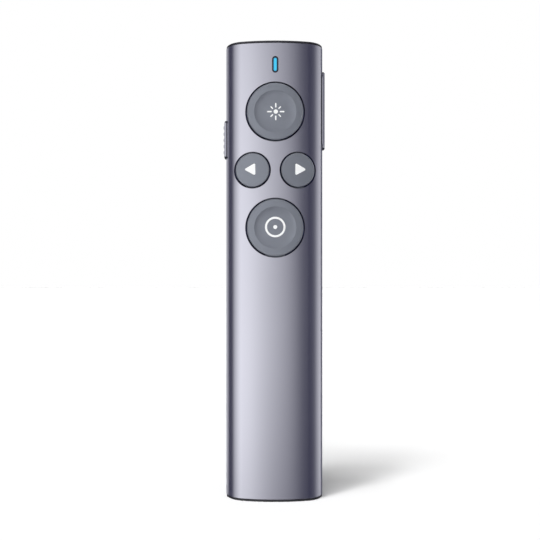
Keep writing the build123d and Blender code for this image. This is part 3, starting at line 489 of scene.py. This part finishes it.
cap_front = -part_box("laser_button")[0].y
crown_radius = face_radius + cap_front - half_depth
ink = grained("pad_print_ink", INK_WHITE, roughness=0.4, grain=0.1 * mm, depth=0.001 * mm)


def lay(tree, given, flat):
    """A flat mark cut fine, laid on the cap's curve at its place, and given the ink's thickness."""
    wires = {"Mesh": flat, "Level": INK_CUTS}
    fine = add(tree, "GeometryNodeSubdivideMesh", wires).outputs[0]
    spot = add(tree, "GeometryNodeInputPosition").outputs[0]
    parts = add(tree, "ShaderNodeSeparateXYZ", {0: spot})
    across, along = parts.outputs[0], parts.outputs[1]
    sag = sum_of(tree, across, given["Slope"], "MULTIPLY")
    squared = sum_of(tree, across, across, "MULTIPLY")
    share = sum_of(tree, squared, sum_of(tree, given["Bend"], 0.5, "MULTIPLY"), "MULTIPLY")
    sag = sum_of(tree, sag, share)
    away = add(tree, "ShaderNodeVectorMath", {0: spot}, operation="LENGTH").outputs[1]
    climb = sum_of(tree, sum_of(tree, away, DISH_RADIUS, "DIVIDE"), DISH_POWER, "POWER")
    climb = sum_of(tree, climb, given["Dish"], "MULTIPLY")
    sag = sum_of(tree, sag, climb, "SUBTRACT")
    curved = add(tree, "ShaderNodeCombineXYZ", {0: across, 1: sag, 2: along}).outputs[0]
    put = add(tree, "ShaderNodeVectorMath", {0: curved, 1: given["Place"]}, operation="ADD")
    wires = {"Geometry": fine, "Position": put.outputs[0]}
    skin = add(tree, "GeometryNodeSetPosition", wires).outputs[0]
    wires = {"Mesh": skin, "Offset": (0, -1, 0), "Offset Scale": given["Ink"], "Individual": False}
    raised = add(tree, "GeometryNodeExtrudeMesh", wires).outputs[0]
    under = add(tree, "GeometryNodeFlipFaces", {"Mesh": skin}).outputs[0]
    wires = {"Geometry": joined(tree, raised, under), "Distance": INK_WELD}
    return add(tree, "GeometryNodeMergeByDistance", wires).outputs[0]


def filled(tree, *curves):
    """Closed curves filled in, a curve inside another being a hole."""
    return add(tree, "GeometryNodeFillCurve", {"Curve": joined(tree, *curves)}).outputs[0]


def circle(tree, radius):
    """A circle round the middle."""
    wires = {"Resolution": CIRCLE_STEPS, "Radius": radius}
    return add(tree, "GeometryNodeCurvePrimitiveCircle", wires).outputs[0]


def rays(tree, given, kind, start):
    """Four rounded strokes standing round the middle, the first at the given angle."""
    inner, outer, width = (given[f"{kind} {part}"] for part in ("Inner", "Outer", "Width"))
    length = sum_of(tree, outer, inner, "SUBTRACT")
    halfway = sum_of(tree, sum_of(tree, outer, inner), 0.5, "MULTIPLY")
    wires = {"Width": length, "Height": width}
    bar = add(tree, "GeometryNodeCurvePrimitiveQuadrilateral", wires).outputs[0]
    wires = {"Curve": bar, "Count": 4, "Radius": sum_of(tree, width, RAY_CORNER, "MULTIPLY")}
    stroke = filled(tree, add(tree, "GeometryNodeFilletCurve", wires, mode="POLY").outputs[0])
    wires = {"Vertices": 4, "Radius": halfway}
    square = add(tree, "GeometryNodeMeshCircle", wires).outputs[0]
    places = moved(tree, square, (0, 0, 0), (0, 0, start))
    spot = add(tree, "GeometryNodeInputPosition").outputs[0]
    facing = add(tree, "FunctionNodeAlignRotationToVector", {"Vector": spot}, axis="X").outputs[0]
    wires = {"Points": places, "Instance": stroke, "Rotation": facing}
    spread = add(tree, "GeometryNodeInstanceOnPoints", wires).outputs[0]
    return add(tree, "GeometryNodeRealizeInstances", {"Geometry": spread}).outputs[0]


def on_dish(button, shift, rise):
    """Where a mark lies on a dished cap: the dish's floor and how it curves up round it."""
    centre = middle(f"{button}_button")
    floor = cap_front - DISH_DEPTH
    return {
        "Place": (shift, INK_SUNK - floor, centre.z + rise),
        "Slope": 0.0,
        "Bend": 1 / crown_radius,
        "Dish": DISH_DEPTH,
        "Ink": INK,
    }


def on_crown(button, shift):
    """Where a mark lies on a plain cap: the crown's height, slope and curve at that place."""
    centre = middle(f"{button}_button")
    x = centre.x + shift
    reach = sqrt(crown_radius**2 - x**2)
    return {
        "Place": (x, INK_SUNK + face_centre - reach, centre.z + MARK_RISE),
        "Slope": x / reach,
        "Bend": crown_radius**2 / reach**3,
        "Dish": 0.0,
        "Ink": INK,
    }


def printed(piece, button):
    """The finished mark rides on its key."""
    piece.data.set_sharp_from_angle(angle=INK_CREASE)
    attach(piece, f"{button}_key")


sizes = on_dish("laser", BURST_SHIFT, 0.0) | {"Dot": DOT}
for kind, measures in (("Long", LONG_RAYS), ("Short", SHORT_RAYS)):
    for part, value in zip(("Inner", "Outer", "Width"), measures):
        sizes[f"{kind} {part}"] = value
tree, given = open_tree("laser_burst", sizes)
dot = filled(tree, circle(tree, given["Dot"]))
burst = joined(tree, dot, rays(tree, given, "Long", 0), rays(tree, given, "Short", pi / 4))
close_tree(tree, lay(tree, given, burst), ink)
printed(grow(tree, "laser_mark", sizes), "laser")

# An arrow starts as a triangle in a circle of radius 1, which is 1.5 long and 2 sin 60 across.
length, half_height, corner = ARROW
for button, way in (("previous", -1), ("next", 1)):
    sizes = on_crown(button, way * ARROW_SHIFT)
    sizes |= {"Length": length, "Half Height": half_height, "Corner": corner}
    tree, given = open_tree(f"{button}_arrow", sizes)
    wires = {"Resolution": 3, "Radius": 1.0}
    triangle = add(tree, "GeometryNodeCurvePrimitiveCircle", wires).outputs[0]
    long = sum_of(tree, given["Length"], way / 1.5, "MULTIPLY")
    tall = sum_of(tree, given["Half Height"], way / sin(pi / 3), "MULTIPLY")
    scale = add(tree, "ShaderNodeCombineXYZ", {0: long, 1: tall, 2: 1.0}).outputs[0]
    sized = add(tree, "GeometryNodeTransform", {"Geometry": triangle, "Scale": scale}).outputs[0]
    wires = {"Curve": sized, "Count": 6, "Radius": given["Corner"]}
    rounded = add(tree, "GeometryNodeFilletCurve", wires, mode="POLY").outputs[0]
    close_tree(tree, lay(tree, given, filled(tree, rounded)), ink)
    printed(grow(tree, f"{button}_mark", sizes), button)

sizes = on_dish("spotlight", 0.0, MARK_RISE)
sizes |= {"Dot": RING_DOT, "Ring": RING[0], "Stroke": RING[1]}
tree, given = open_tree("spotlight_ring", sizes)
hole = sum_of(tree, given["Ring"], given["Stroke"], "SUBTRACT")
ring = filled(tree, circle(tree, given["Ring"]), circle(tree, hole))
dot = filled(tree, circle(tree, given["Dot"]))
close_tree(tree, lay(tree, given, joined(tree, ring, dot)), ink)
printed(grow(tree, "spotlight_mark", sizes), "spotlight")


# ---- Indicator ----
# A lit pill above the buttons: a light guide of clear blue acrylic in a polished black bezel. A
# lamp behind it makes its middle bright, and it fades to a deep blue at the edge.

BEZEL_BLACK = (0.008, 0.008, 0.014)
LIT_CORE = (0.05, 0.63, 0.87, 1)
LIT_EDGE = (0.01, 0.08, 0.2, 1)
LIT_RADIUS = 0.53 * mm  # half the width of the light guide's face
LIT_HALF_LENGTH = 2.04 * mm
LIT_CLEAR = 0.3 * mm  # up to this far from its middle line the glow keeps its full strength
LIT_POWER = 0.8

bezel_gloss = grained("bezel_gloss", BEZEL_BLACK, roughness=0.12, grain=1.0 * mm, depth=0.001 * mm)
dress(bezel_gloss, "indicator_bezel")
lit = grained("lit_acrylic", LIT_EDGE[:3], roughness=0.2, grain=0.5 * mm, depth=0.001 * mm)
tree = lit.node_tree
shader = tree.nodes["Principled BSDF"]
spot = add(tree, "ShaderNodeTexCoord").outputs["Object"]
parts = add(tree, "ShaderNodeSeparateXYZ", {0: spot})
height = sum_of(tree, parts.outputs[2], middle("indicator_lens").z, "SUBTRACT")
height = sum_of(tree, height, 0.0, "ABSOLUTE")
past = sum_of(tree, height, LIT_HALF_LENGTH - LIT_RADIUS, "SUBTRACT")
past = sum_of(tree, past, 0.0, "MAXIMUM")
away = add(tree, "ShaderNodeCombineXYZ", {0: parts.outputs[0], 2: past})
distance = add(tree, "ShaderNodeVectorMath", {0: away.outputs[0]}, operation="LENGTH").outputs[1]
glow = add(tree, "ShaderNodeMapRange", {0: distance, 1: LIT_CLEAR, 2: LIT_RADIUS}).outputs[0]
fade = add(tree, "ShaderNodeMix", {0: glow, 6: LIT_CORE, 7: LIT_EDGE}, data_type="RGBA")
tree.links.new(fade.outputs[2], shader.inputs["Emission Color"])
shader.inputs["Emission Strength"].default_value = LIT_POWER
dress(lit, "indicator_lens")


# ---- Power slide and volume rocker ----
# A ribbed knob in the left side switches the clicker on; a long bar in the right side rocks on a
# pin for louder and softer. Each is a black moulding with an aluminium cover let into its face.

COVER_COLOUR = (0.49, 0.49, 0.55)

cover_metal = grained(
    "cover_aluminium",
    COVER_COLOUR,
    roughness=0.34,
    grain=BLAST_GRAIN,
    depth=0.002 * mm,
    metallic=1.0,
)
dress(cover_metal, "power_cover", "rocker_cover")
dress(nylon, "power_knob", "volume_rocker", "power_clip", "power_lever")


# ---- Laser ----
# A turned brass barrel holds a moulded lens in its nose and a canned diode in its tail. A flat
# amber ribbon joins the diode to the board.

BRASS = (0.72, 0.5, 0.2)
LENS_COLOUR = (0.9, 0.93, 0.96)
AMBER = (0.45, 0.17, 0.02)

dress(brushed("turned_brass", BRASS, roughness=0.25, stretch=(0.02, 0.02, 1)), "laser_barrel")
dress(clear("moulded_lens", LENS_COLOUR, roughness=0.03), "laser_lens")
ribbon = grained("polyimide_ribbon", AMBER, roughness=0.3, grain=0.4 * mm, depth=0.002 * mm)
dress(ribbon, "laser_flex")


# ---- Battery ----
# A flat pouch cell wrapped in foil sits behind the board on a foam pad, with a red and a black
# lead to an ivory connector.

FOIL = (0.62, 0.62, 0.64)
FOAM_GREY = (0.05, 0.05, 0.05)
LEADS = {"red": (0.45, 0.01, 0.01), "black": (0.015, 0.015, 0.015)}
IVORY = (0.78, 0.74, 0.62)

foil = grained("pouch_foil", FOIL, roughness=0.28, grain=2.2 * mm, depth=0.05 * mm, metallic=1.0)
dress(foil, "battery_cell")
foam = grained("foam_tape", FOAM_GREY, roughness=0.9, grain=0.3 * mm, depth=0.05 * mm)
dress(foam, "battery_pad")
for name, colour in LEADS.items():
    insulation = grained(
        f"{name}_insulation", colour, roughness=0.4, grain=0.3 * mm, depth=0.004 * mm
    )
    dress(insulation, f"battery_lead_{name}")
ivory = grained("connector_nylon", IVORY, roughness=0.45, grain=0.2 * mm, depth=0.003 * mm)
dress(ivory, "battery_connector")


# ---- Charging port and receiver ----
# The tail holds a socket for the charging plug, a drawn steel shell round a black tongue, and
# behind it the wireless receiver in its bay, which pulls out by a nail slot in its end.

PORT_BLACK = (0.012, 0.012, 0.013)
RECEIVER_BLACK = (0.028, 0.028, 0.032)
NICKEL = (0.66, 0.64, 0.6)
GOLD = (0.83, 0.6, 0.25)

dress(brushed("drawn_steel", STEEL, roughness=0.26, stretch=(1, 1, 0.04)), "charge_port_shell")
insulator = grained(
    "port_insulator", PORT_BLACK, roughness=0.4, grain=0.1 * mm, depth=0.002 * mm
)
dress(insulator, "charge_port_tongue")
receiver_nylon = grained(
    "receiver_nylon", RECEIVER_BLACK, roughness=0.45, grain=0.2 * mm, depth=0.005 * mm
)
dress(receiver_nylon, "receiver_housing", "receiver_plug_tongue")
bright_nickel = brushed("bright_nickel", NICKEL, roughness=0.22, stretch=(0.06, 1, 1))
dress(bright_nickel, "receiver_plug_shell", "bay_magnet")
dress(brushed("gold_plate", GOLD, roughness=0.25, stretch=(1, 1, 0.05)), "receiver_contacts")


# ---- Studio ----
# A white floor under a white sky, four lamps high to the left and one lower in front. Round it
# all, out of view, a ring of cloth: its bright parts light the metal, its dark ones shape the
# edges.

CAMERA_REACH = 235.0 * mm
CAMERA_TURN = radians(-2.4)  # it stands a little to the left of the front
CAMERA_SHIFT = (0.0504, 0.0022)  # and looks straight back, so its lens is shifted to the body
FOCAL_LENGTH = 50
SENSOR_WIDTH = 36
CAMERA_NEAR = 0.01
AMBIENT = 0.28  # the sky's brightness where it only lights the scene
# Each lamp's height, its turn to the left of the front and its spread, in degrees, and its power.
LAMPS = [
    (64.5, 42, 11, 1.0),
    (66.5, 14, 13, 0.64),
    (72.5, 48, 5, 0.6),
    (79, 56, 6, 0.54),
    (38, 2, 9, 0.44),
]
FLOOR_WHITE = (0.86, 0.86, 0.86, 1)
FLOOR_REACH = 3.0
RING_RADIUS = 1.2
RING_STEP = 5  # degrees between the ring's uprights
# The ring's brightness at turns from straight in front, in degrees, to the left below zero.
RING_GLOW = [
    (-180, 0.78),
    (-126, 0.72),
    (-124, 0.06),
    (-108, 0.075),
    (-85, 0.06),
    (-78, 0.64),
    (-70, 0.84),
    (-51, 1.29),
    (-35, 1.64),
    (-22, 1.6),
    (-10, 1.16),
    (0, 0.975),
    (8, 0.8),
    (17, 0.61),
    (23, 0.44),
    (24.5, 0.02),
    (36, 0.065),
    (48, 0.12),
    (60, 0.14),
    (72, 0.21),
    (80, 0.34),
    (90, 0.58),
    (100, 0.75),
    (112, 0.85),
    (129, 1.2),
    (131, 0.0),
    (150, 0.03),
    (163, 0.35),
    (180, 0.62),
]
# It dims towards the ceiling and the floor: heights, and the shares of the brightness left there
# on the left, on the right of the front, and further round to the right.
RING_ROWS = [
    (-2.0, 0.45, 0.3, 0.4),
    (-0.5, 0.53, 0.32, 0.5),
    (-0.36, 0.82, 0.46, 0.72),
    (-0.3, 1.18, 0.88, 1.03),
    (-0.2, 1.12, 1.04, 1.08),
    (0.0, 1.0, 1.0, 1.0),
    (0.25, 0.96, 0.96, 0.96),
    (0.5, 0.85, 0.85, 0.85),
    (1.4, 0.13, 0.13, 0.13),
    (4.0, 0.1, 0.1, 0.1),
]
RIGHT_SLOPE = (-30, 0)  # the turns between which the left's share gives way to the right's
SIDE_SLOPE = (15, 35)  # and the right's to the one further round
RING_WARM = 0.965  # the share of blue in its bright parts
RING_BLUE = 0.05  # and the blue that is left in its dark ones

floor = linked("floor", bpy.data.meshes.new("floor"))
floor_corners = [(-1, -1), (1, -1), (1, 1), (-1, 1)]
floor.data.from_pydata(
    [(x * FLOOR_REACH, y * FLOOR_REACH, 0) for x, y in floor_corners], [], [(0, 1, 2, 3)]
)
paper = bpy.data.materials.new("white_paper")
paper.use_nodes = True
shader = paper.node_tree.nodes["Principled BSDF"]
shader.inputs["Base Color"].default_value = FLOOR_WHITE
shader.inputs["Roughness"].default_value = 1.0
shader.inputs["Specular IOR Level"].default_value = 0.0
floor.data.materials.append(paper)
floor.visible_glossy = False


def part_way(turn, slope):
    """How far a turn lies along a slope: 0 up to its start, 1 from its end."""
    return min(max((turn - slope[0]) / (slope[1] - slope[0]), 0), 1)


uprights = []
for (start, first), (end, last) in zip(RING_GLOW, RING_GLOW[1:]):
    steps = max(1, round((end - start) / RING_STEP))
    shares = [step / steps for step in range(steps)]
    uprights += [(start + (end - start) * part, first + (last - first) * part) for part in shares]
uprights.append(RING_GLOW[-1])
corners = []
levels = []
for height, left, right, side in RING_ROWS:
    for turn, level in uprights:
        x, y = RING_RADIUS * sin(radians(turn)), -RING_RADIUS * cos(radians(turn))
        corners.append((x, y, height))
        share = left + (right - left) * part_way(turn, RIGHT_SLOPE)
        share += (side - right) * part_way(turn, SIDE_SLOPE)
        levels.append(level * share)
ring = linked("ring_of_cloth", bpy.data.meshes.new("ring_of_cloth"))
row = len(uprights)
lows = [low * row + step for low in range(len(RING_ROWS) - 1) for step in range(row - 1)]
ring.data.from_pydata(corners, [], [(i, i + 1, i + row + 1, i + row) for i in lows])
ring.data.attributes.new("glow", "FLOAT", "POINT").data.foreach_set("value", levels)
cloth = bpy.data.materials.new("ring_cloth")
cloth.use_nodes = True
tree = cloth.node_tree
tree.nodes.remove(tree.nodes["Principled BSDF"])
level = add(tree, "ShaderNodeAttribute", attribute_name="glow").outputs["Fac"]
blue = sum_of(tree, sum_of(tree, level, RING_WARM, "MULTIPLY"), RING_BLUE)
tint = add(tree, "ShaderNodeCombineColor", {0: level, 1: level, 2: blue}).outputs[0]
shine = add(tree, "ShaderNodeEmission", {"Color": tint})
tree.links.new(shine.outputs[0], tree.nodes["Material Output"].inputs["Surface"])
ring.data.materials.append(cloth)
ring.visible_camera = False
ring.visible_diffuse = False
ring.visible_shadow = False
ring.visible_transmission = False

# The sky is plain white where it is seen, mirrored or looked through.
world = bpy.data.worlds.new("surround")
world.use_nodes = True
bpy.context.scene.world = world
tree = world.node_tree
ray = add(tree, "ShaderNodeLightPath").outputs
shown = sum_of(tree, ray["Is Camera Ray"], ray["Is Glossy Ray"], "MAXIMUM")
shown = sum_of(tree, shown, ray["Is Transmission Ray"], "MAXIMUM")
strength = add(tree, "ShaderNodeMapRange", {0: shown, 3: AMBIENT, 4: 1.0}).outputs[0]
background = tree.nodes["Background"]
background.inputs["Color"].default_value = (1, 1, 1, 1)
tree.links.new(strength, background.inputs["Strength"])

for order, (height, turn, spread, power) in enumerate(LAMPS):
    name = f"lamp_{order + 1}"
    lamp = linked(name, bpy.data.lights.new(name, "SUN"))
    lamp.data.energy = power
    lamp.data.angle = radians(spread)
    flat, down = cos(radians(height)), sin(radians(height))
    toward = Vector((sin(radians(turn)) * flat, cos(radians(turn)) * flat, -down))
    lamp.rotation_euler = toward.to_track_quat("-Z", "Y").to_euler()
    lamp.visible_glossy = False

camera_height = (cad_box[0][2] + cad_box[1][2]) / 2
camera = linked("camera", bpy.data.cameras.new("camera"))
camera.data.lens = FOCAL_LENGTH
camera.data.sensor_width = SENSOR_WIDTH
camera.data.shift_x, camera.data.shift_y = CAMERA_SHIFT
camera.data.clip_start = CAMERA_NEAR
camera.location = (
    CAMERA_REACH * sin(CAMERA_TURN),
    -CAMERA_REACH * cos(CAMERA_TURN),
    camera_height,
)
camera.rotation_euler = Vector((0, 1, 0)).to_track_quat("-Z", "Y").to_euler()
bpy.context.scene.camera = camera
bpy.context.scene.view_settings.view_transform = "Standard"
